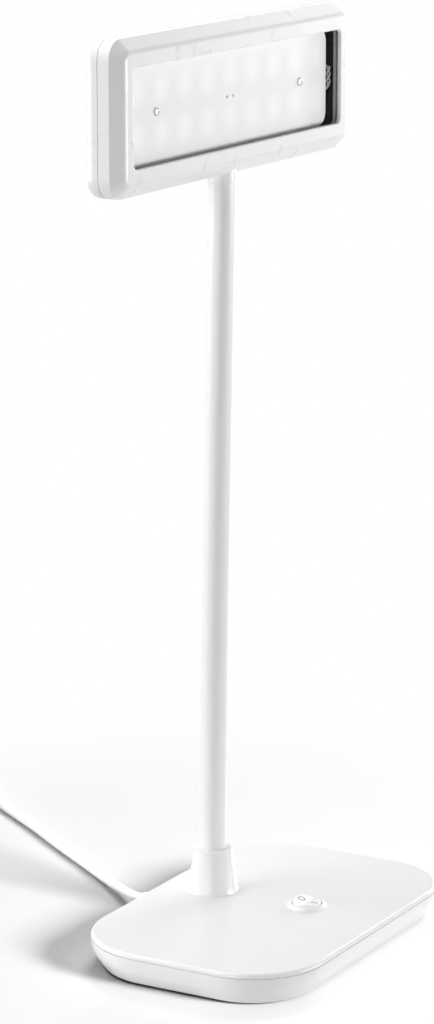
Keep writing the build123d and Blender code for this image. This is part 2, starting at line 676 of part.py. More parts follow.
def neck_bracket():
    back = tray_back_y + bracket_thickness
    shelf = bar((-bracket_half, head_stem_y - 6.4, bracket_z),
                (bracket_half, back, bracket_z + bracket_thickness))
    leg = bar((-bracket_half, tray_back_y, bracket_z), (bracket_half, back, bracket_z + bracket_height))
    # where the leg stands close to the nut, it is thinned to clear it
    nut_foot = bracket_z + bracket_thickness
    nut_back = head_stem_y + nut_flats / 2 + nut_gap
    leg -= bar((-nut_flats, head_stem_y, nut_foot), (nut_flats, nut_back, nut_foot + nut_height + nut_gap))
    body = shelf + leg
    corners = body.edges().filter_by(Axis.Y).filter_by(lambda e: e.center().Z > bracket_z + 5)
    body = fillet(corners, 3.0)
    body -= disc(stud_radius + 0.1, 0, head_stem_y, bracket_z - 1, 4)
    for x in bracket_screws:
        body -= rod_y(1.6, x, tray_back_y - 1, bracket_screw_z, 5)
    return body


def upper_ferrule():
    body = disc(ferrule_radius, 0, head_stem_y, ferrule_low, bracket_z - ferrule_low)
    body = fillet(body.edges().group_by(Axis.Z)[0], 0.5)
    body -= disc(sleeve_radius + fit_gap, 0, head_stem_y, ferrule_low - 1, ferrule_depth + 1)
    body += disc(stud_radius, 0, head_stem_y, bracket_z, bracket_thickness + nut_height + 0.6)
    spigot_low = joints[-1].Z - core_clear_below
    body += disc(core_radius, 0, head_stem_y, spigot_low, neck_top.Z - spigot_low)
    return body - disc(core_bore, 0, head_stem_y, spigot_low, 60)


def head_nut():
    z = bracket_z + bracket_thickness
    hexagon = RegularPolygon(nut_flats / 2, 6, major_radius=False)
    body = extrude(Pos(0, head_stem_y, z) * hexagon, nut_height)
    return body - disc(stud_radius, 0, head_stem_y, z, nut_height)


def head_leads():
    """Two thin leads from the neck, along under the panel, up the gap beside it and onto the connector."""
    start_z = ferrule_low + ferrule_depth + 1
    low = head_mid - panel_height / 2 + 2.2
    gap_x = panel_width / 2 + 2.6
    plug_x = connector_x + connector_half

    def lead(side):
        y = head_stem_y + side * 0.85
        rise = low + (side + 1) * 0.85
        up_x = gap_x - side * 0.85
        top = head_mid + 8 + side * 1.6
        points = [(0, y, start_z), (0, y, rise), (up_x, y, rise), (up_x, y, top), (plug_x, y, top)]
        return tube_along(points, 1.2, lamp_lead_radius)
    return group(lead(side) for side in (-1, 1))


# Switch

def switch_housing():
    low = base_top - switch_depth
    body = disc(switch_radius, 0, switch_y, low, switch_depth)
    profile = make_face([
        Line((0, 0), (switch_bezel, 0)), Line((switch_bezel, 0), (switch_bezel, switch_lip_edge)),
        EllipticalCenterArc((switch_opening, switch_lip_edge), switch_bezel - switch_opening,
                            switch_lip - switch_lip_edge, start_angle=0, arc_size=90),
        Line((switch_opening, switch_lip), (0, switch_lip)), Line((0, switch_lip), (0, 0))])
    body += Pos(0, switch_y, base_top) * revolve(Plane.XZ * profile, Axis.Z)
    body -= disc(switch_opening, 0, switch_y, low + 1.5, switch_depth + switch_lip)
    body -= Pos(0, switch_y, pivot_z) * Rot(0, 90, 0) * Cylinder(
        trunnion_radius + trunnion_gap, 2 * switch_radius + 2)
    for y in terminal_ys:
        body -= bar((-2.4, y - 0.4, low - 1), (2.4, y + 0.4, low + 2))
    return body


def switch_rocker():
    """Pressed at the front end: a rocker turned in a ball-shaped seat, with a shallow valley on top."""
    reach = rocker_radius + 2
    end_rise = rocker_valley - rocker_pivot + reach * tan(radians(rocker_angle))
    valley = rocker_valley - rocker_pivot
    outline = Polyline((-reach, -3.2), (reach, -3.2), (reach, end_rise), (0, valley), (-reach, end_rise),
                       close=True)
    section = extrude(Plane.YZ * make_face(outline), reach, both=True)
    body = section & Sphere(rocker_radius)
    body += Rot(0, 90, 0) * Cylinder(trunnion_radius, 2 * (switch_radius - 0.2))
    return Pos(0, switch_y, pivot_z) * Rot(rocker_angle, 0, 0) * body


def switch_terminals():
    low = base_top - switch_depth
    return group(bar((-2.4, y - 0.4, low - 5.0), (2.4, y + 0.4, low + 2)) for y in terminal_ys)


# Driver and leads

def driver_board():
    board = bar((driver_x - driver_width / 2, -driver_depth / 2, floor_top + driver_height),
                (driver_x + driver_width / 2, driver_depth / 2, driver_top))
    board = fillet(board.edges().filter_by(Axis.Z), 1.5)
    for x, y in driver_corners():
        board -= disc(1.3, x, y, 0, driver_top)
    return board


def driver_components():
    core = bar((driver_x - 9, -8, driver_top), (driver_x + 7, 8, driver_top + 9.0))
    core = fillet(core.edges().filter_by(Axis.Z), 1.0)
    winding = Pos(driver_x - 1, 0, driver_top + 4.4) * Rot(90, 0, 0) * Cylinder(4.2, 19)
    can = Pos(driver_x + 14, -1, driver_top + 4.1) * Rot(90, 0, 0) * Cylinder(4.0, 15)
    can += bar((driver_x + 12, -7, driver_top), (driver_x + 16, 5, driver_top + 1.5))
    bridge = bar((driver_x - 19, -4, driver_top), (driver_x - 13, 4, driver_top + 2.6))
    return group([core + winding, can, bridge])


def mains_leads():
    """The live lead to the switch, the neutral to the driver, and the switched live to the driver."""
    board_edge = driver_x + driver_width / 2 - 3
    core_x, core_z = 1.1, gland_z - 1.2
    turn_y = jacket_end - 2.8
    inner_y = turn_y - 2.2
    right_x, left_x = cord_exit_x + core_x, cord_exit_x - core_x
    live = [(right_x, jacket_end, core_z), (right_x, inner_y, core_z), (-23, inner_y, core_z),
            (-23, inner_y, over_plate), (-23, terminal_ys[1], over_plate),
            (-12, terminal_ys[1], over_plate), (-12, terminal_ys[1], 7.6), (-2.4, terminal_ys[1], 7.6)]
    neutral = [(left_x, jacket_end, core_z), (left_x, turn_y, core_z), (-26.5, turn_y, core_z),
               (-26.5, turn_y, over_plate), (-26.5, 12, over_plate), (board_edge, 12, over_plate),
               (board_edge, 12, driver_top)]
    switched = [(-2.4, terminal_ys[0], 7.6), (-12, terminal_ys[0], 7.6), (-12, terminal_ys[0], over_plate),
                (-23, terminal_ys[0], over_plate), (-23, 6, over_plate), (board_edge, 6, over_plate),
                (board_edge, 6, driver_top)]
    leads = [tube_along(points, 1.9, lead_radius) for points in (live, neutral, switched)]
    return group(leads + [cord_inner_end()])


def lamp_leads():
    """Two thin leads from the driver through the socket's side and up the lower ferrule."""
    start_x = driver_x + driver_width / 2 - 3
    top = joints[0].Z - core_clear_above - 0.5

    def lead(side):
        x = side * 0.85
        board_y_spot = -8 + side * 3
        run_x = -20 + side * 1.2
        z = lead_hole_z
        points = [(start_x, board_y_spot, driver_top), (start_x, board_y_spot, z), (run_x, board_y_spot, z),
                  (run_x, stem_y - side * 0.85, z), (x, stem_y - side * 0.85, z),
                  (x, stem_y - side * 0.85, top)]
        return tube_along(points, 1.2, lamp_lead_radius)
    return group(lead(side) for side in (-1, 1))


# Mains cord

def strain_relief():
    inner = pad_front
    profile = Polyline((cord_radius, inner - relief_flange_thickness),
                       (relief_flange, inner - relief_flange_thickness), (relief_flange, inner),
                       (relief_root, inner), (relief_root, relief_base_y + 1.5), (relief_tip, relief_end),
                       (cord_radius, relief_end), close=True)
    body = revolve(make_face(profile), Axis.Y)
    # half-round grooves let it flex: each goes round all but two narrow ties, turned by a quarter each time
    pitch = (relief_out - 2.0) / relief_ribs
    for n in range(relief_ribs):
        y = relief_base_y + 1.5 + n * pitch
        radius = relief_root + (relief_tip - relief_root) * (y - relief_base_y) / relief_out
        groove = rod_y(radius + 1, 0, y, 0, relief_groove) - rod_y(radius - relief_groove_depth, 0, y, 0,
                                                                 relief_groove)
        tie = bar((-8, y, -0.9), (8, y + relief_groove, 0.9))
        body -= groove - Rot(0, 90 * (n % 2), 0) * tie
    return Pos(cord_exit_x, 0, gland_z) * body


def cord_clamp():
    half = clamp_screw_x + 3.2
    body = bar((-half, clamp_y - 1.8, clamp_seat), (half, clamp_y + 1.8, clamp_seat + 2.6))
    body = fillet(body.edges().filter_by(Axis.Z), 1.5)
    body -= rod_y(cord_radius, 0, clamp_y - 3, gland_z, 6)
    for side in (-1, 1):
        body -= disc(1.3, side * clamp_screw_x, clamp_y, clamp_seat - 1, 6)
    return Pos(cord_exit_x, 0, 0) * body


def clamp_screws():
    screw = pan_screw(2.1, 1.3, 1.0, 8.0)
    return group(Pos(cord_exit_x + side * clamp_screw_x, clamp_y, clamp_seat + 2.6) * screw for side in (-1, 1))


def cord_inner_end():
    return rod_y(cord_radius, cord_exit_x, jacket_end, gland_z, cord_route[0][1] - jacket_end)


# The cord lies on the table: straight out of the base, round to the right, and away behind the lamp.
cord_route = [
    (-8, 72, 10), (-8, 86, 10), (-2.2, 98.5, 8.7), (8.5, 110, 6.3), (20, 124.5, 4.2), (33, 141, 2.9),
    (47, 160, 2.7), (70, 194, 2.7), (96, 229.5, 2.7), (121, 268, 2.7), (142, 299, 2.7), (154.8, 318.5, 2.9),
]
# From the coil to the plug.
tail_route = [
    (119.2, 381.4, 8.7), (106, 381.8, 8.0), (92, 380.8, 4.2), (78, 379.5, 3.4), (66.5, 379.9, 6.5),
    (57, 380, 6.85),
]
coil_middle = (119.2, 339.9)


def route_radii(route):
    """Each bend is as large as the two runs beside it allow."""
    points = [Vector(*p) for p in route]
    radii = []
    for a, b, c in zip(points, points[1:], points[2:]):
        turn = radians((b - a).get_angle(c - b))
        radii.append(0.45 * min((b - a).length, (c - b).length) / tan(turn / 2))
    return radii


def route_tube(route, name):
    radii = route_radii(route)
    path = FilletPolyline(*route, radius=radii)
    tube = sweep(Plane(origin=path @ 0, z_dir=path % 0) * Circle(cord_radius), path=path)
    expected = pi * cord_radius ** 2 * path.length
    print(name, "length", round(path.length, 1), "radii", [round(r) for r in radii],
          "volume", round(tube.volume), "expected", round(expected))
    return tube


def cord_coil():
    """The outer shape of the wound cord: two layers of turns."""
    outer, inner = coil_turns_radius + cord_radius, coil_inner_turn - cord_radius
    height = 4 * cord_radius
    ring = disc(outer, *coil_middle, tie_thickness, height) - disc(inner, *coil_middle, tie_thickness, height)
    rims = ring.edges().filter_by(GeomType.CIRCLE)
    return fillet(rims, cord_radius * 0.9)


def coil_tie():
    """A strap round the wound turns on the coil's left side."""
    outer, inner = coil_turns_radius + cord_radius, coil_inner_turn - cord_radius
    left, right = coil_middle[0] - outer, coil_middle[0] - inner
    low, high = tie_thickness, tie_thickness + 4 * cord_radius
    y = coil_middle[1]
    t = tie_thickness
    bulge = 0.9  # the ring curves outward across the strap's width
    strap = bar((left - t, y - tie_width / 2, 0), (right + bulge + t, y + tie_width / 2, high + t))
    return strap - bar((left, y - tie_width, low), (right + bulge, y + tie_width, high))


def plug_body():
    x, y, z = tail_route[-1]
    flat = plug_height / 2
    nose_x = x - plug_nose
    body = bar((x - plug_length, y - plug_width / 2, z - flat), (nose_x, y + plug_width / 2, z + flat))
    body = fillet(body.edges().filter_by(Axis.X), flat * 0.8)
    nose = loft([
        Plane(origin=(nose_x, y, z), x_dir=(0, 1, 0), z_dir=(1, 0, 0)) * RectangleRounded(
            plug_width - 3, plug_height - 1, flat * 0.75),
        Plane(origin=(x, y, z), x_dir=(0, 1, 0), z_dir=(1, 0, 0)) * RectangleRounded(9, 8.6, 4.0)])
    for n in range(grip_count):
        grip_x = nose_x - 4.0 - n * grip_pitch
        for side in (-1, 1):
            body -= bar((grip_x - grip_width, y - plug_width * 0.3, z + side * flat - grip_depth),
                        (grip_x, y + plug_width * 0.3, z + side * flat + grip_depth))
    return body + nose


def plug_pins():
    x, y, z = tail_route[-1]
    root = x - plug_length

    def pin(side):
        body = Pos(root, y + side * pin_spacing / 2, z) * Rot(0, -90, 0) * Cylinder(
            pin_radius, pin_length, align=(Align.CENTER, Align.CENTER, Align.MIN))
        return fillet(body.edges().group_by(Axis.X)[0], pin_radius * 0.6)
    return group(pin(side) for side in (-1, 1))


os.makedirs("parts", exist_ok=True)
pieces = {
    "base_lower_housing": lower_housing, "base_top_cover": top_cover, "rubber_feet": rubber_feet,
    "base_screws": base_screws, "ballast_plate": ballast_plate, "inner_base_screws": inner_base_screws,
    "neck_socket": neck_socket, "socket_screws": socket_screws,
    "neck_lower_ferrule": lower_ferrule, "neck_collar": neck_collar,
    "switch_body": switch_housing, "switch_rocker": switch_rocker, "switch_terminals": switch_terminals,
    "driver_board": driver_board, "driver_components": driver_components,
    "mains_leads": mains_leads, "lamp_leads": lamp_leads,
    "strain_relief": strain_relief, "cord_clamp": cord_clamp, "clamp_screws": clamp_screws,
    "cord_coil": cord_coil, "coil_tie": coil_tie,
    "plug_body": plug_body, "plug_pins": plug_pins,
    "head_front_bezel": front_bezel, "head_rear_shell": rear_shell, "head_shell_screws": head_shell_screws,
    "clear_window": clear_window, "window_gasket": window_gasket, "panel_carrier": panel_carrier,
    "carrier_screws": carrier_screws, "light_panel": light_panel, "panel_spacers": panel_spacers,
    "panel_screws": panel_screws, "led_board": led_board, "led_chips": led_chips,
    "led_connector": led_connector, "neck_bracket": neck_bracket,
    "neck_upper_ferrule": upper_ferrule, "head_nut": head_nut, "head_leads": head_leads,
}
for node, make in pieces.items():
    save(make(), node)
neck()
save(route_tube(cord_route, "mains_cord"), "mains_cord")
save(route_tube(tail_route, "plug_lead"), "plug_lead")
print("coil middle", coil_middle, "pieces", len(pieces) + 2 * joint_count + 2)
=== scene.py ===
import json
import math
import bmesh
import bpy
from mathutils import Matrix, Vector

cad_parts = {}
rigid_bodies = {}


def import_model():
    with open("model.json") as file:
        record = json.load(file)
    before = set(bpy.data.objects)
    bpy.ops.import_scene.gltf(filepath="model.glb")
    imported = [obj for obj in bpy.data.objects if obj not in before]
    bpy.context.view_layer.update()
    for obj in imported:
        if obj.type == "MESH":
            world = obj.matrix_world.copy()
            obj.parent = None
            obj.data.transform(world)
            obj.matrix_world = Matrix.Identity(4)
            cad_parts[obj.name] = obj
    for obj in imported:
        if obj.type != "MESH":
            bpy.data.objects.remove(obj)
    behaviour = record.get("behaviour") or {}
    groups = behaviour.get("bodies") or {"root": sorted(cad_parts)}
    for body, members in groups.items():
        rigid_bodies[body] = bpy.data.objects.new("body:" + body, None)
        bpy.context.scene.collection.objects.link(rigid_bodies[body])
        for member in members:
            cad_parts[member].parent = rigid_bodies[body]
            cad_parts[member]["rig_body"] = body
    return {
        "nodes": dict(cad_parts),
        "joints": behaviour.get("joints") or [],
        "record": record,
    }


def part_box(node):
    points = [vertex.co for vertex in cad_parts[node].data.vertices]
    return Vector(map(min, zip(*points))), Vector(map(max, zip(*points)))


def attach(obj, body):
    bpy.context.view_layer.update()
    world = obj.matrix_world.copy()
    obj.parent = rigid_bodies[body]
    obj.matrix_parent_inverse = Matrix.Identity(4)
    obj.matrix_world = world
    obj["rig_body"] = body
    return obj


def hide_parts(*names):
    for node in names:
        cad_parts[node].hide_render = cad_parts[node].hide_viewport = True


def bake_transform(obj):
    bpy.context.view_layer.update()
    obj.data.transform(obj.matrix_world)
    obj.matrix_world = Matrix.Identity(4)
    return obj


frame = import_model()
mm = 0.001
nodes = frame["nodes"]
joints = {joint["name"]: joint for joint in frame["joints"]}
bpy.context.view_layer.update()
print("frame loaded:", len(nodes), "nodes")

cameraSettings = {
    "place": (-1839.2, -1003.8, 746.6),  # mm
    "forward": (0.8471, 0.4804, -0.2272),
    "lens": 130.4, "sensor": 36.0,
    "clip": (0.05, 100.0),  # m
}


def makeCamera(settings):
    data = bpy.data.cameras.new("camera")
    data.lens = settings["lens"]
    data.sensor_width = settings["sensor"]
    data.clip_start, data.clip_end = settings["clip"]
    camera = bpy.data.objects.new("camera", data)
    bpy.context.scene.collection.objects.link(camera)
    camera.location = Vector(settings["place"]) * mm
    camera.rotation_mode = "QUATERNION"
    camera.rotation_quaternion = Vector(settings["forward"]).to_track_quat("-Z", "Y")
    bpy.context.scene.camera = camera


makeCamera(cameraSettings)
print("camera set")


# Small helpers for materials
noiseReach = (0.3, 0.7)  # nearly all of a noise lies between these


def newMaterial(name):
    material = bpy.data.materials.new(name)
    material.use_nodes = True
    tree = material.node_tree
    return material, tree, tree.nodes["Principled BSDF"]


def addNode(tree, kind, settings=None, **inputs):
    node = tree.nodes.new(kind)
    for key, value in (settings or {}).items():
        setattr(node, key, value)
    for key, value in inputs.items():
        node.inputs[key].default_value = value
    return node


def objectPlace(tree):
    return tree.nodes.new("ShaderNodeTexCoord").outputs["Object"]


def noise(tree, place, scale, detail=3.0, roughness=0.5):
    node = addNode(tree, "ShaderNodeTexNoise", Scale=scale, Detail=detail, Roughness=roughness)
    tree.links.new(place, node.inputs["Vector"])
    return node.outputs["Fac"]


def spread(tree, value, low, high):
    return steps(tree, value, *noiseReach, low, high)


def unevenGloss(tree, shader, smear, roughness, share):
    gloss = spread(tree, smear, roughness * (1 - share), roughness * (1 + share))
    tree.links.new(gloss, shader.inputs["Roughness"])


def mixedColour(tree, value, first, second):
    node = tree.nodes.new("ShaderNodeMix")
    node.data_type = "RGBA"
    tree.links.new(value, node.inputs["Factor"])
    node.inputs["A"].default_value = (*first, 1)
    node.inputs["B"].default_value = (*second, 1)
    return node.outputs["Result"]


def bump(tree, shader, height, strength, distance):
    node = addNode(tree, "ShaderNodeBump", Strength=strength, Distance=distance)
    tree.links.new(height, node.inputs["Height"])
    tree.links.new(node.outputs["Normal"], shader.inputs["Normal"])


def steps(tree, value, low, high, first=0.0, last=1.0, smooth=False):
    # value between low and high, as a share from first to last
    node = addNode(tree, "ShaderNodeMapRange", {"interpolation_type": "SMOOTHSTEP" if smooth else "LINEAR"})
    for key, entry in (("From Min", low), ("From Max", high), ("To Min", first), ("To Max", last)):
        feed(tree, node.inputs[key], entry)
    tree.links.new(value, node.inputs["Value"])
    return node.outputs["Result"]


def feed(tree, socket, entry):
    # a socket takes either a fixed value or another node's output
    if isinstance(entry, bpy.types.NodeSocket):
        tree.links.new(entry, socket)
    else:
        socket.default_value = entry


def calc(tree, operation, *entries):
    node = addNode(tree, "ShaderNodeMath", {"operation": operation})
    for socket, entry in zip(node.inputs, entries):
        feed(tree, socket, entry)
    return node.outputs[0]


def tint(grey, warmth=0.0):
    return (grey * (1 + warmth), grey, grey * (1 - warmth))


finishSettings = {
    "drift": 0.01, "patchScale": 14.0, "scuffScale": 60.0, "scuffShare": 0.15, "metal": 0.0, "ior": 1.46,
    "grainScale": 900.0, "grainStrength": 0.1, "grainDepth": 0.05 * mm,
}


def finish(name, colour, settings):
    # a moulded or painted surface: slow colour drift, fine skin texture, uneven gloss
    settings = {**finishSettings, **settings}
    material, tree, shader = newMaterial(name)
    place = objectPlace(tree)
    drift = settings["drift"]
    patches = noise(tree, place, settings["patchScale"])
    low = tuple(c * (1 - drift) for c in colour)
    high = tuple(min(c * (1 + drift), 1.0) for c in colour)
    tree.links.new(mixedColour(tree, patches, low, high), shader.inputs["Base Color"])
    scuff = noise(tree, place, settings["scuffScale"], 4.0, 0.6)
    unevenGloss(tree, shader, scuff, settings["roughness"], settings["scuffShare"])
    grain = noise(tree, place, settings["grainScale"], 2.0)
    bump(tree, shader, grain, settings["grainStrength"], settings["grainDepth"])
    shader.inputs["Metallic"].default_value = settings["metal"]
    shader.inputs["IOR"].default_value = settings["ior"]
    return material


white = tint(0.85, 0.002)
materials = {
    "base_gloss_white": finish("glossy white base", white, {"roughness": 0.22}),
    "head_gloss_white": finish("glossy white head", white, {"roughness": 0.3}),
    "neck_sleeve_white": finish("satin white sleeve", white, {"roughness": 0.38}),
    "switch_white": finish("switch white", tint(0.88), {"roughness": 0.25}),
    "cord_white": finish("soft white jacket", tint(0.86, 0.004), {"roughness": 0.45}),
    "foot_rubber": finish("grey rubber", tint(0.12), {"roughness": 0.75, "drift": 0.05}),
    "zinc_steel": finish("zinc plated steel", tint(0.62, -0.01), {"roughness": 0.32, "metal": 1.0}),
    "ballast_steel": finish("black steel plate", tint(0.06), {"roughness": 0.5, "metal": 0.6}),
    "white_metal": finish("white coated metal", white, {"roughness": 0.35}),
    "terminal_brass": finish("brass", (0.72, 0.54, 0.25), {"roughness": 0.3, "metal": 1.0}),
    "circuit_board": finish("green board", (0.02, 0.12, 0.05), {"roughness": 0.4}),
    "component_dark": finish("dark component", tint(0.02), {"roughness": 0.5}),
    "gasket_grey": finish("grey foam gasket", tint(0.5), {"roughness": 0.8, "drift": 0.08}),
    "led_board_white": finish("white board", tint(0.8), {"roughness": 0.5}),
    "led_yellow": finish("yellow chip", (0.85, 0.68, 0.15), {"roughness": 0.4}),
    "lead_white": finish("white lead", tint(0.8), {"roughness": 0.45}),
    "tie_black": finish("soft black strap", tint(0.02), {"roughness": 0.8}),
    "plug_white": finish("satin white plug", white, {"roughness": 0.35}),
    "mark_grey": finish("grey print", tint(0.04), {"roughness": 0.5}),
    "pin_nickel": finish("nickel plated pin", tint(0.68, 0.03), {"roughness": 0.2, "metal": 1.0}),
}


paneSettings = {
    "colour": (0.97, 0.98, 0.98), "ior": 1.03, "roughness": 0.03, "smearScale": 25.0, "smearShare": 0.4,
}


def clearPane(settings):
    # a thin sheet that mirrors a little, more at a glancing angle, and lets the rest straight through
    material, tree, shader = newMaterial("clear pane")
    shader.inputs["Base Color"].default_value = (*settings["colour"], 1)
    shader.inputs["Metallic"].default_value = 1.0
    smear = noise(tree, objectPlace(tree), settings["smearScale"])
    unevenGloss(tree, shader, smear, settings["roughness"], settings["smearShare"])
    mirror = addNode(tree, "ShaderNodeFresnel", IOR=settings["ior"])
    tree.links.new(mirror.outputs[0], shader.inputs["Alpha"])
    return material


panelLow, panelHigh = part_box("light_panel")
panelSettings = {
    "colour": tint(0.89), "roughness": 0.4, "cloudScale": 30.0, "cloudDepth": 0.985,
    "pitch": 25.75 * mm, "rows": (12.4 * mm, -12.0 * mm),  # the rows from the panel's middle
    "spotReach": 12.5 * mm, "glow": (0.04, 0.12),
    "grainScale": 700.0, "grainStrength": 0.06, "grainDepth": 0.03 * mm,
}


def opalPanel(settings):
    # milky plastic with a soft bright spot over each light behind it
    material, tree, shader = newMaterial("opal panel")
    place = objectPlace(tree)
    cloud = noise(tree, place, settings["cloudScale"])
    low = tuple(c * settings["cloudDepth"] for c in settings["colour"])
    tree.links.new(mixedColour(tree, cloud, low, settings["colour"]), shader.inputs["Base Color"])
    parts = tree.nodes.new("ShaderNodeSeparateXYZ")
    tree.links.new(place, parts.inputs[0])
    middle = (panelLow + panelHigh) / 2
    pitch = settings["pitch"]
    along = calc(tree, "WRAP", calc(tree, "SUBTRACT", parts.outputs["X"], middle.x), pitch / 2, -pitch / 2)
    high, low = settings["rows"]
    up = calc(tree, "SUBTRACT", parts.outputs["Z"], middle.z + (high + low) / 2)
    across = calc(tree, "SUBTRACT", calc(tree, "ABSOLUTE", up), (high - low) / 2)
    squares = calc(tree, "ADD", calc(tree, "POWER", along, 2.0), calc(tree, "POWER", across, 2.0))
    away = calc(tree, "SQRT", squares)
    dark, bright = settings["glow"]
    light = steps(tree, away, 0.0, settings["spotReach"], bright, dark, smooth=True)
    tree.links.new(light, shader.inputs["Emission Strength"])
    shader.inputs["Emission Color"].default_value = (1, 1, 1, 1)
    shader.inputs["Roughness"].default_value = settings["roughness"]
    grain = noise(tree, place, settings["grainScale"], 2.0)
    bump(tree, shader, grain, settings["grainStrength"], settings["grainDepth"])
    return material


traySettings = {
    # black and white here are painted shade and painted light: past the reach below, measured from the
    # middle, the tray is painted black
    "black": tint(0.004), "white": tint(0.8), "roughness": 0.6, "scuffScale": 60.0, "scuffShare": 0.15,
    "paintedShadeReach": 112.5 * mm, "paintedShadeFade": 1 * mm,
    "grainScale": 900.0, "grainStrength": 0.1, "grainDepth": 0.05 * mm,
}


def trayWithPaintedShade(settings):
    # painted light and shade on one plastic: black in the gaps beside the panel, where the cavity lies in
    # shade, and white behind and below it, so the line under the panel reads lighter
    material, tree, shader = newMaterial("tray with painted shade")
    place = objectPlace(tree)
    parts = tree.nodes.new("ShaderNodeSeparateXYZ")
    tree.links.new(place, parts.inputs[0])
    reach = settings["paintedShadeReach"]
    # painted shade: the colour turns black past the reach, in the gaps beside the panel
    beside = steps(tree, calc(tree, "ABSOLUTE", parts.outputs["X"]), reach - settings["paintedShadeFade"], reach)
    colour = mixedColour(tree, beside, settings["white"], settings["black"])
    tree.links.new(colour, shader.inputs["Base Color"])
    scuff = noise(tree, place, settings["scuffScale"])
    unevenGloss(tree, shader, scuff, settings["roughness"], settings["scuffShare"])
    grain = noise(tree, place, settings["grainScale"], 2.0)
    bump(tree, shader, grain, settings["grainStrength"], settings["grainDepth"])
    return material


materials["carrier_black"] = trayWithPaintedShade(traySettings)
materials["clear_pane"] = clearPane(paneSettings)
materials["opal_panel"] = opalPanel(panelSettings)


def dress(piece, slot):
    piece.data.materials.clear()
    piece.data.materials.append(materials[slot])


for row in frame["record"]["subparts"]:
    dress(nodes[row["node"]], row["material_slot"])
print("CAD nodes dressed")


# Shape trees: each makes one kind of piece from named sizes
crispAngle = 0.6  # an edge that turns more than this, in radians, stays crisp


def newTree(name, inputs):
    tree = bpy.data.node_groups.new(name, "GeometryNodeTree")
    tree.interface.new_socket("Shape", in_out="OUTPUT", socket_type="NodeSocketGeometry")
    for label, kind in inputs.items():
        tree.interface.new_socket(label, in_out="INPUT", socket_type="NodeSocket" + kind)
    return tree, tree.nodes.new("NodeGroupInput").outputs, tree.nodes.new("NodeGroupOutput").inputs


def joinUp(tree, kind, settings=None, **inputs):
    # adds a node and links or sets its inputs, named with _ for a space
    node = addNode(tree, kind, settings)
    for key, entry in inputs.items():
        feed(tree, node.inputs[key.replace("_", " ")], entry)
    return node.outputs[0]


def endTree(tree, shape, given, result):
    # smooth sides, crisp edges, then one plain mesh in one material
    angle = tree.nodes.new("GeometryNodeInputMeshEdgeAngle").outputs["Unsigned Angle"]
    soft = calc(tree, "LESS_THAN", angle, crispAngle)
    whole = joinUp(tree, "GeometryNodeRealizeInstances", Geometry=shape)
    whole = joinUp(tree, "GeometryNodeSetShadeSmooth", {"domain": "EDGE"}, Geometry=whole, Shade_Smooth=soft)
    whole = joinUp(tree, "GeometryNodeSetMaterial", Geometry=whole, Material=given["Material"])
    tree.links.new(whole, result["Shape"])
    return tree


def grow(name, tree, values, slot, start=None):
    # runs a shape tree once and keeps what it makes as a plain mesh
    piece = bpy.data.objects.new(name, start or bpy.data.meshes.new(name))
    bpy.context.scene.collection.objects.link(piece)
    modifier = piece.modifiers.new("shape", "NODES")
    modifier.node_group = tree
    values = {**values, "Material": materials[slot]}
    for item in tree.interface.items_tree:
        if item.in_out == "INPUT" and item.name in values:
            modifier[item.identifier] = values[item.name]
    depsgraph = bpy.context.evaluated_depsgraph_get()
    made = bpy.data.meshes.new_from_object(piece.evaluated_get(depsgraph))
    piece.modifiers.remove(modifier)
    made.validate()
    piece.data = made
    return piece


# The neck's smooth white sleeve: one length for each joint, reaching half way to its neighbours
neckJoints = [joint for joint in frame["joints"] if joint["name"].startswith("neck")]
neckSettings = {
    "radius": 8.0 * mm, "lean": 6.2 * mm, "lateness": 1.35, "sides": 56, "rings": 41,
    "foot": 39.0 * mm, "top": 451.8 * mm, "footReach": 11.5 * mm, "topReach": 14.5 * mm,
    # at this joint the upper end is taken first: from the lower one, the length comes out wrong when the
    # neck is bent and leaning as far as it goes
    "fromAbove": "neck_lean_3",
}


def neckTree():
    tree, given, result = newTree("neckTube", {
        "Low": "Float", "High": "Float", "Foot Y": "Float", "Lean": "Float", "Lateness": "Float",
        "First Joint": "Float", "Last Joint": "Float", "Radius": "Float", "Sides": "Int", "Rings": "Int",
        "Material": "Material"})
    low = joinUp(tree, "ShaderNodeCombineXYZ", Z=given["Low"])
    high = joinUp(tree, "ShaderNodeCombineXYZ", Z=given["High"])
    line = joinUp(tree, "GeometryNodeCurvePrimitiveLine", Start=low, End=high)
    line = joinUp(tree, "GeometryNodeResampleCurve", Curve=line, Count=given["Rings"])
    spot = tree.nodes.new("ShaderNodeSeparateXYZ")
    tree.links.new(tree.nodes.new("GeometryNodeInputPosition").outputs[0], spot.inputs[0])
    share = steps(tree, spot.outputs["Z"], given["First Joint"], given["Last Joint"])
    lean = calc(tree, "MULTIPLY", calc(tree, "POWER", share, given["Lateness"]), given["Lean"])
    back = calc(tree, "SUBTRACT", given["Foot Y"], lean)
    moved = joinUp(tree, "ShaderNodeCombineXYZ", Y=back, Z=spot.outputs["Z"])
    line = joinUp(tree, "GeometryNodeSetPosition", Geometry=line, Position=moved)
    circle = joinUp(tree, "GeometryNodeCurvePrimitiveCircle", Resolution=given["Sides"],
                    Radius=given["Radius"])
    tube = joinUp(tree, "GeometryNodeCurveToMesh", Curve=line, Profile_Curve=circle, Fill_Caps=True)
    return endTree(tree, tube, given, result)


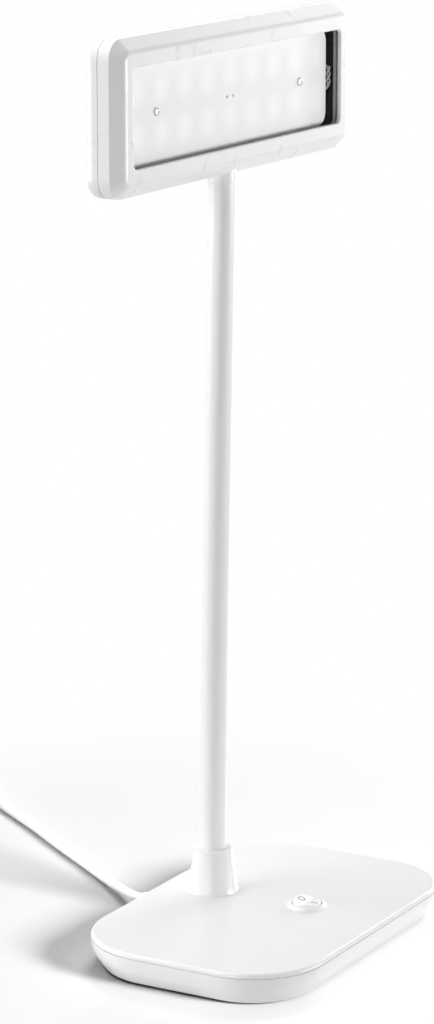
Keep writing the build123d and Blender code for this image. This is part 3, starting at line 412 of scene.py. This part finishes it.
def makeNeck(settings):
    tree = neckTree()
    places = [Vector(joint["pos_m"]) for joint in neckJoints]
    last = len(places) - 1
    for n, joint in enumerate(neckJoints):
        low = settings["foot"] if n == 0 else (places[n - 1].z + places[n].z) / 2
        high = settings["top"] if n == last else (places[n].z + places[n + 1].z) / 2
        piece = grow(f"neckSleeve{n + 1}", tree, {
            "Low": low, "High": high, "Foot Y": places[0].y, "Lean": settings["lean"],
            "Lateness": settings["lateness"], "First Joint": places[0].z, "Last Joint": places[last].z,
            "Radius": settings["radius"], "Sides": settings["sides"], "Rings": settings["rings"],
        }, "neck_sleeve_white")
        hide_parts(*[f"neck_sleeve_{k}" for k in ((n, n + 1) if n == last else (n,))])
        reach = {0: settings["footReach"], last: settings["topReach"]}.get(n, (high - low) / 2)
        along = Vector((0, 0, reach))
        lower, upper = (joint["parent"], places[n] - along), (joint["child"], places[n] + along)
        if joint["name"] == settings["fromAbove"]:
            lower, upper = upper, lower
        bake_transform(piece)


makeNeck(neckSettings)
print("neck sleeve made")

# Cross-head screws, made once and set at each place that the frame gives
screwSettings = {
    # mm, and degrees for the turn of the head; the cross and the dome are shares of the head's size
    "panel_screws": {"radius": 2.5, "height": 1.3, "length": 4.0, "turn": (90, 0, 0)},
    "head_shell_screws": {"radius": 2.8, "height": 1.8, "length": 10.0, "turn": (-90, 0, 0)},
    "base_screws": {"radius": 2.8, "height": 1.8, "length": 8.0, "turn": (180, 0, 0)},
}
screwShape = {"shank": 1.2, "crossLong": 1.15, "crossNarrow": 0.24, "dome": 0.55, "rearInner": 40.0}


def screwTree():
    tree, given, result = newTree("crossHeadScrew", {
        "Places": "Geometry", "Radius": "Float", "Height": "Float", "Shank Radius": "Float",
        "Shank Length": "Float", "Turn": "Vector", "Material": "Material"})
    radius, height = given["Radius"], given["Height"]
    head = joinUp(tree, "GeometryNodeMeshCylinder", Vertices=32, Side_Segments=2, Fill_Segments=8,
                  Radius=radius, Depth=height)
    spot = tree.nodes.new("ShaderNodeSeparateXYZ")
    tree.links.new(tree.nodes.new("GeometryNodeInputPosition").outputs[0], spot.inputs[0])
    out = calc(tree, "SQRT", calc(tree, "ADD", calc(tree, "POWER", spot.outputs["X"], 2.0),
                                  calc(tree, "POWER", spot.outputs["Y"], 2.0)))
    fall = calc(tree, "POWER", calc(tree, "DIVIDE", out, radius), 3.0)
    drop = calc(tree, "MULTIPLY", fall, screwShape["dome"])
    top = calc(tree, "GREATER_THAN", spot.outputs["Z"], 0.0)
    drop = calc(tree, "MULTIPLY", calc(tree, "MULTIPLY", drop, top), height)
    sunk = joinUp(tree, "ShaderNodeCombineXYZ", Z=calc(tree, "MULTIPLY", drop, -1.0))
    head = joinUp(tree, "GeometryNodeSetPosition", Geometry=head, Offset=sunk)
    lifted = joinUp(tree, "ShaderNodeCombineXYZ", Z=calc(tree, "MULTIPLY", height, 0.5))
    head = joinUp(tree, "GeometryNodeTransform", Geometry=head, Translation=lifted)
    slot = tree.nodes.new("GeometryNodeJoinGeometry")
    long = calc(tree, "MULTIPLY", radius, screwShape["crossLong"])
    narrow = calc(tree, "MULTIPLY", radius, screwShape["crossNarrow"])
    up = joinUp(tree, "ShaderNodeCombineXYZ", Z=height)
    for wide, deep in ((long, narrow), (narrow, long)):
        size = joinUp(tree, "ShaderNodeCombineXYZ", X=wide, Y=deep, Z=height)
        box = joinUp(tree, "GeometryNodeMeshCube", Size=size)
        box = joinUp(tree, "GeometryNodeTransform", Geometry=box, Translation=up)
        tree.links.new(box, slot.inputs[0])
    cut = addNode(tree, "GeometryNodeMeshBoolean", {"operation": "DIFFERENCE", "solver": "EXACT"})
    tree.links.new(head, cut.inputs[0])
    tree.links.new(slot.outputs[0], cut.inputs[1])
    cut.inputs["Self Intersection"].default_value = True
    shank = joinUp(tree, "GeometryNodeMeshCylinder", Vertices=16, Radius=given["Shank Radius"],
                   Depth=given["Shank Length"])
    below = joinUp(tree, "ShaderNodeCombineXYZ", Z=calc(tree, "MULTIPLY", given["Shank Length"], -0.5))
    shank = joinUp(tree, "GeometryNodeTransform", Geometry=shank, Translation=below)
    screw = tree.nodes.new("GeometryNodeJoinGeometry")
    tree.links.new(cut.outputs[0], screw.inputs[0])
    tree.links.new(shank, screw.inputs[0])
    turned = joinUp(tree, "GeometryNodeTransform", Geometry=screw.outputs[0])
    tree.links.new(given["Turn"], tree.nodes[-1].inputs["Rotation"])
    placed = joinUp(tree, "GeometryNodeInstanceOnPoints", Points=given["Places"], Instance=turned)
    return endTree(tree, placed, given, result)


def screwPlaces(node, radius, height):
    # the seats of the heads, from the box of the node that holds the screws
    low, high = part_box(node)
    inset = Vector((radius, radius, radius))
    near, far = low + inset, high - inset
    if node == "panel_screws":
        seat = panelLow.y
        return [(near.x, seat, far.z), (far.x, seat, far.z)]
    if node == "head_shell_screws":
        seat = high.y - height
        inner = screwShape["rearInner"] * mm
        return [(x, seat, far.z) for x in (near.x, 0, far.x)] + [
            (x, seat, near.z) for x in (near.x, -inner, inner, far.x)]
    seat = low.z + height
    return [(x, y, seat) for x in (near.x, far.x) for y in (near.y, far.y)]


def makeScrews(settings):
    tree = screwTree()
    for node, screw in settings.items():
        radius, height = screw["radius"] * mm, screw["height"] * mm
        places = bpy.data.meshes.new(node + "Places")
        places.from_pydata(screwPlaces(node, radius, height), [], [])
        piece = grow("cross_" + node, tree, {
            "Radius": radius, "Height": height, "Shank Radius": screwShape["shank"] * mm,
            "Shank Length": screw["length"] * mm, "Turn": [math.radians(angle) for angle in screw["turn"]],
        }, "zinc_steel", places)
        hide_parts(node)
        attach(piece, nodes[node]["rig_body"])


makeScrews(screwSettings)
print("screws set")

# The marks on the rocker: a ring on its far half and a bar on its near half
markSettings = {
    "ringRadius": 2.0, "ringWidth": 0.55, "ringPlace": 4.2, "ringSides": 48,
    "barLength": 4.4, "barWidth": 0.6, "barPlace": -4.4,
    "proud": 0.08, "sunk": 0.12, "valley": 3.3, "slope": 8.0, "turn": 8.0,  # mm and degrees
}


def strip(shape, inner, outer, low, high, closed):
    # a flat band between two lines of points, with its under side and edges
    rows = [[shape.verts.new((x, y, z)) for x, y in line] for line, z in (
        (inner, high), (outer, high), (outer, low), (inner, low))]
    count = len(inner)
    for a, b in zip(rows, rows[1:] + rows[:1]):
        for n in range(count if closed else count - 1):
            m = (n + 1) % count
            shape.faces.new((a[n], a[m], b[m], b[n]))
    if not closed:
        for n in (0, count - 1):
            shape.faces.new([row[n] for row in rows])


def makeMark(name, lines, place, settings, closed):
    shape = bmesh.new()
    strip(shape, *lines, -settings["sunk"] * mm, settings["proud"] * mm, closed)
    bmesh.ops.recalc_face_normals(shape, faces=shape.faces)
    slope = math.copysign(settings["slope"], place)
    side = Matrix.Rotation(math.radians(slope), 4, "X")
    height = settings["valley"] + abs(place) * math.tan(math.radians(settings["slope"]))
    pressed = Matrix.Rotation(math.radians(settings["turn"]), 4, "X")
    pivot = Matrix.Translation(Vector(joints["rocker_tip"]["pos_m"]))
    shape.transform(pivot @ pressed @ Matrix.Translation(Vector((0, place, height)) * mm) @ side)
    mesh = bpy.data.meshes.new(name)
    shape.to_mesh(mesh)
    shape.free()
    mesh.materials.append(materials["mark_grey"])
    piece = bpy.data.objects.new(name, mesh)
    bpy.context.scene.collection.objects.link(piece)
    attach(piece, "rocker")


def makeMarks(settings):
    sides = settings["ringSides"]
    turns = [2 * math.pi * n / sides for n in range(sides)]
    middle, half = settings["ringRadius"], settings["ringWidth"] / 2
    inner, outer = ([(r * mm * math.cos(a), r * mm * math.sin(a)) for a in turns] for r in (
        middle - half, middle + half))
    makeMark("markOff", (inner, outer), settings["ringPlace"], settings, True)
    half, wide = settings["barLength"] / 2 * mm, settings["barWidth"] / 2 * mm
    left, right = [(-wide, -half), (-wide, half)], [(wide, -half), (wide, half)]
    makeMark("markOn", (left, right), settings["barPlace"], settings, False)


makeMarks(markSettings)
print("rocker marked")

# Two thin leads that leave the panel's back, twist together in the gap beside it and go in at the connector
leadSettings = {
    "radius": 0.6, "depth": 35.8, "start": 452.8, "run": 471.5, "apart": 0.85, "riseX": 111.0,  # mm
    "plugX": 111.5, "plugZ": 505.4, "plugApart": 1.6,
    "twistX": 119.2, "twistY": 30.6, "twistLow": 491.5, "twistHigh": 502.5,
    "twistRadius": 0.9, "twistTurns": 1.3, "twistPoints": 16,
}


def leadPoints(settings, side):
    # up out of the neck, along the panel's foot, up and forward into the gap, round each other, and back
    gap = side * settings["apart"]
    depth = settings["depth"]
    x, z = settings["riseX"] - gap, settings["run"] + gap
    twistX, twistY = settings["twistX"], settings["twistY"]
    back = depth + gap
    points = [(0, back, settings["start"]), (0, back, z - 9), (2, back, z - 1), (12, back, z), (55, back, z),
              (x - 10, back, z), (x - 1, back, z + 1), (x + 2, depth, z + 6),
              (twistX - 1.2, depth - 1.5, settings["twistLow"] - 5)]
    count = settings["twistPoints"]
    for n in range(count + 1):
        share = n / count
        angle = math.tau * settings["twistTurns"] * share + (0 if side > 0 else math.pi)
        points.append((twistX + settings["twistRadius"] * math.cos(angle),
                       twistY + settings["twistRadius"] * math.sin(angle),
                       settings["twistLow"] + (settings["twistHigh"] - settings["twistLow"]) * share))
    top, end = settings["plugZ"] + side * settings["plugApart"], settings["plugX"]
    return points + [(twistX - 1.0, depth - 1.5, top), (end + 2, depth, top), (end, depth, top)]


def makeLeads(settings):
    for side, name in ((1, "panelLeadA"), (-1, "panelLeadB")):
        data = bpy.data.curves.new(name, "CURVE")
        data.dimensions = "3D"
        data.bevel_depth = settings["radius"] * mm
        data.bevel_resolution = 3
        data.resolution_u = 6
        data.use_fill_caps = True
        spline = data.splines.new("NURBS")
        points = leadPoints(settings, side)
        spline.points.add(len(points) - 1)
        for point, place in zip(spline.points, points):
            point.co = (*(Vector(place) * mm), 1)
        spline.order_u = 3
        spline.use_endpoint_u = True
        lead = bpy.data.objects.new(name, data)
        bpy.context.scene.collection.objects.link(lead)
        dress(lead, "lead_white")
        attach(lead, "head")
        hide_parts("head_leads")


makeLeads(leadSettings)
print("panel leads laid")

# The mains cord, in the order it is laid: out of the base, round to the right and away, two layers of
# turns, and back to the plug. Millimetres.
cordSettings = {
    "exit": (-8, 72, 10), "diameter": 5.4, "length": 1800.0,
    "out": [
        (-8, 72, 10), (-8, 86, 10), (-2.2, 98.5, 8.7), (8.5, 110, 6.3), (20, 124.5, 4.2), (33, 141, 2.9),
        (47, 160, 2.7), (70, 194, 2.7), (96, 229.5, 2.7), (121, 268, 2.7), (142, 299, 2.7),
        (154.8, 318.5, 2.9),
    ],
    "tail": [
        (119.2, 381.4, 8.7), (106, 381.8, 8.0), (92, 380.8, 4.2), (78, 379.5, 3.4), (66.5, 379.9, 6.5),
        (57, 380, 6.85),
    ],
    "coilMiddle": (119.2, 339.9), "coilOuter": 41.5, "coilInner": 21.7,
    "layerHeights": (3.3, 8.7), "climbShare": 0.06,  # the second layer begins half way along
    "enterAngle": -31.0, "leaveAngle": 90.0 + 7 * 360, "pointsPerTurn": 16,
}


def coilPoints(settings):
    # a control point stands outside the line that it makes, so the radius is stretched to suit
    start, end = settings["enterAngle"], settings["leaveAngle"]
    count = round((end - start) / 360 * settings["pointsPerTurn"])
    stretch = 1 / math.cos(math.pi / settings["pointsPerTurn"])
    outer, inner = settings["coilOuter"], settings["coilInner"]
    low, high = settings["layerHeights"]
    points = []
    for n in range(1, count):
        share = n / count
        depth = 1 - abs(2 * share - 1)  # 0 at the outside, 1 at the innermost turn
        radius = (outer + (inner - outer) * depth) * stretch
        climb = min(max((share - 0.5) / settings["climbShare"] + 0.5, 0), 1)
        angle = math.radians(start + (end - start) * share)
        x, y = settings["coilMiddle"]
        points.append((x + radius * math.cos(angle), y + radius * math.sin(angle),
                       low + (high - low) * climb))
    return points


def makeCord(settings):
    data = bpy.data.curves.new("mainsFlex", "CURVE")
    data.dimensions = "3D"
    data.bevel_depth = settings["diameter"] / 2 * mm
    data.bevel_resolution = 5
    data.resolution_u = 6
    data.use_fill_caps = True
    spline = data.splines.new("NURBS")
    points = settings["out"] + coilPoints(settings) + settings["tail"]
    spline.points.add(len(points) - 1)
    for point, place in zip(spline.points, points):
        point.co = (*(Vector(place) * mm), 1)
    spline.order_u = 3
    spline.use_endpoint_u = True
    cord = bpy.data.objects.new("mainsFlex", data)
    bpy.context.scene.collection.objects.link(cord)
    dress(cord, "cord_white")
    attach(cord, "base")
    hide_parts("mains_cord", "cord_coil", "plug_lead")
    return cord


makeCord(cordSettings)
print("cord laid")


# Floor, backdrop and light
studioSettings = {
    "floorSize": 60.0, "paper": 0.8, "shadowReach": (0.26, 0.5),
    "paperBounce": (0.55, 0.28), "bounceReach": (0.16, 0.42),
}


def makeFloor(settings):
    half = settings["floorSize"] / 2
    mesh = bpy.data.meshes.new("floor")
    corners = [(-half, -half, 0), (half, -half, 0), (half, half, 0), (-half, half, 0)]
    mesh.from_pydata(corners, [], [(0, 1, 2, 3)])
    floor = bpy.data.objects.new("floor", mesh)
    bpy.context.scene.collection.objects.link(floor)
    material = bpy.data.materials.new("pale paper")
    material.use_nodes = True
    tree = material.node_tree
    tree.nodes.clear()
    path = tree.nodes.new("ShaderNodeLightPath")
    seen = calc(tree, "MAXIMUM", path.outputs["Is Camera Ray"],
                calc(tree, "MAXIMUM", path.outputs["Is Glossy Ray"], path.outputs["Is Transmission Ray"]))
    length = addNode(tree, "ShaderNodeVectorMath", {"operation": "LENGTH"})
    tree.links.new(objectPlace(tree), length.inputs[0])
    distance = length.outputs["Value"]
    # the light that the paper throws back comes mostly from near the base
    bounce = steps(tree, distance, *settings["bounceReach"], *settings["paperBounce"], smooth=True)
    shade = steps(tree, seen, 0.0, 1.0, bounce, settings["paper"])
    paper = addNode(tree, "ShaderNodeBsdfDiffuse")
    tree.links.new(shade, paper.inputs["Color"])
    glow = addNode(tree, "ShaderNodeEmission", Strength=1.0)
    # beyond the shadow's reach the paper is plain white to the eye, and to gloss and glass
    reach = steps(tree, distance, *settings["shadowReach"], smooth=True)
    mix = tree.nodes.new("ShaderNodeMixShader")
    tree.links.new(calc(tree, "MULTIPLY", reach, seen), mix.inputs[0])
    tree.links.new(paper.outputs[0], mix.inputs[1])
    tree.links.new(glow.outputs[0], mix.inputs[2])
    out = tree.nodes.new("ShaderNodeOutputMaterial")
    tree.links.new(mix.outputs[0], out.inputs["Surface"])
    mesh.materials.append(material)
    return floor


def makeWorld():
    # white to the eye, to gloss and to glass; the lamps alone light the object
    world = bpy.data.worlds.new("studio")
    world.use_nodes = True
    tree = world.node_tree
    backdrop = tree.nodes["Background"]
    backdrop.inputs["Color"].default_value = (1, 1, 1, 1)
    path = tree.nodes.new("ShaderNodeLightPath")
    shiny = calc(tree, "MAXIMUM", path.outputs["Is Glossy Ray"], path.outputs["Is Transmission Ray"])
    seen = calc(tree, "MAXIMUM", path.outputs["Is Camera Ray"], shiny)
    tree.links.new(seen, backdrop.inputs["Strength"])
    bpy.context.scene.world = world


# Soft boxes. Each stands so many degrees round from the viewer's side (to the right is plus) and so high,
# in degrees, and its light is what a white card facing it would show, where 1 is plain white
lampSettings = {"away": 2.2, "aim": (0, 0, 0.12), "front": (-0.878, -0.479)}
objectLamps = {
    "lowRight": {"turn": 90, "height": 4, "size": (1.3, 0.45), "light": 0.66},
    "lowBackRight": {"turn": 150, "height": 8, "size": (1.3, 0.45), "light": 0.62},
    "lowFrontLeft": {"turn": -30, "height": 2, "size": (1.3, 0.45), "light": 0.36},
    "lowLeft": {"turn": -90, "height": 2, "size": (1.3, 0.45), "light": 0.4},
    "backRight": {"turn": 150, "height": 25, "size": (1.0, 1.0), "light": 0.17},
    "highBack": {"turn": 180, "height": 45, "size": (1.0, 1.0), "light": 0.15},
    "highFrontLeft": {"turn": -55, "height": 45, "size": (1.0, 1.0), "light": 0.15},
    "highBackLeft": {"turn": -150, "height": 45, "size": (1.0, 1.0), "light": 0.19},
    "overhead": {"turn": -90, "height": 68, "size": (1.0, 1.0), "light": 0.52},
}
# These fall on the paper alone, so the shadow on it is as deep as it should be
paperLamps = {
    "paperRight": {"turn": 53, "height": 23, "size": (1.4, 1.4), "away": 5.0, "light": 1.7},
    "paperBack": {"turn": 170, "height": 50, "size": (1.2, 1.2), "away": 3.5, "light": 0.36},
    "paperTop": {"turn": 0, "height": 90, "size": (2.4, 2.4), "away": 2.6, "light": 0.42},
}


def makeLamp(name, settings):
    data = bpy.data.lights.new(name, "AREA")
    data.shape = "RECTANGLE"
    data.size, data.size_y = settings["size"]
    away = settings.get("away", lampSettings["away"])
    data.energy = settings["light"] * (math.pi * away) ** 2
    lamp = bpy.data.objects.new(name, data)
    bpy.context.scene.collection.objects.link(lamp)
    turn, height = math.radians(settings["turn"]), math.radians(settings["height"])
    x, y = lampSettings["front"]
    flat = Vector((x * math.cos(turn) - y * math.sin(turn), x * math.sin(turn) + y * math.cos(turn), 0))
    outward = flat.normalized() * math.cos(height) + Vector((0, 0, math.sin(height)))
    place = Vector(lampSettings["aim"]) + outward * away
    lamp.matrix_world = Matrix.Translation(place) @ (-outward).to_track_quat("-Z", "Y").to_matrix().to_4x4()
    lamp.visible_camera = False
    return lamp


def lightStudio(floor):
    # the object's lamps pass over the paper, and the paper's lamps pass over the object
    for lampSet, state in ((objectLamps, "EXCLUDE"), (paperLamps, "INCLUDE")):
        lit = bpy.data.collections.new("paper" + state.title())
        lit.objects.link(floor)
        lit.collection_objects[0].light_linking.link_state = state
        for name, settings in lampSet.items():
            makeLamp(name, settings).light_linking.receiver_collection = lit


makeWorld()
lightStudio(makeFloor(studioSettings))
bpy.context.scene.view_settings.view_transform = "Standard"
print("studio ready")
